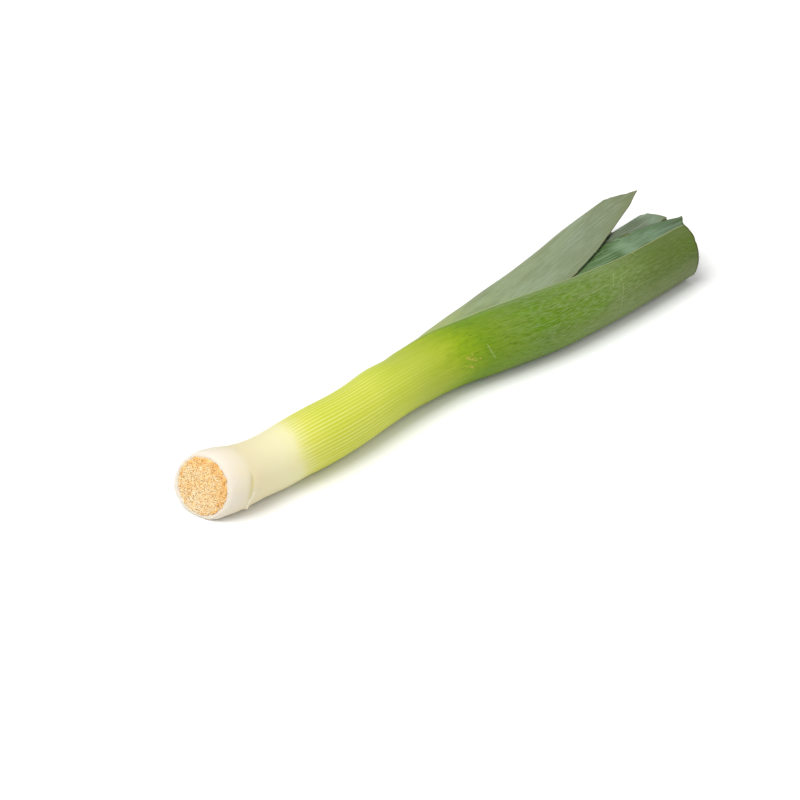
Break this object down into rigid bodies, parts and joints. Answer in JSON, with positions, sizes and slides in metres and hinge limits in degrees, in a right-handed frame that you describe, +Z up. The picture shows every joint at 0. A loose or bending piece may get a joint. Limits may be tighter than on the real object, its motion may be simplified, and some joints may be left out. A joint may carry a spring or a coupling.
{
  "type": "leek",
  "caption": "Trimmed leek lying on its side: white bulb with a cut root plate, a straight shaft, and folded green leaves that fan out to cut ends.",
  "frame": {"origin": "centre of the bounding box at the height of the surface that the leek lies on", "axes": "+X along the leek from the root plate to the leaf tips, +Y towards the side to which the pale second leaf fans out, +Z up"},
  "size_m": [0.4246, 0.0944, 0.0358],
  "materials": {
    "root_plate": "dry, fibrous and tan",
    "shaft_and_outer_leaf": "satin plant skin, white at the bulb, yellow-green along the shaft and deep green on the leaf",
    "pale_leaf": "satin leaf with a waxy grey-green bloom",
    "inner_leaf": "satin leaf, bluish green"
  },
  "bodies": {
    "root": {"root_plate": "root_plate", "outer_leaf_and_shaft": "shaft_and_outer_leaf", "leaf_2": "pale_leaf", "leaf_3": "inner_leaf", "leaf_4": "inner_leaf", "leaf_5": "inner_leaf"}
  },
  "joints": []
}
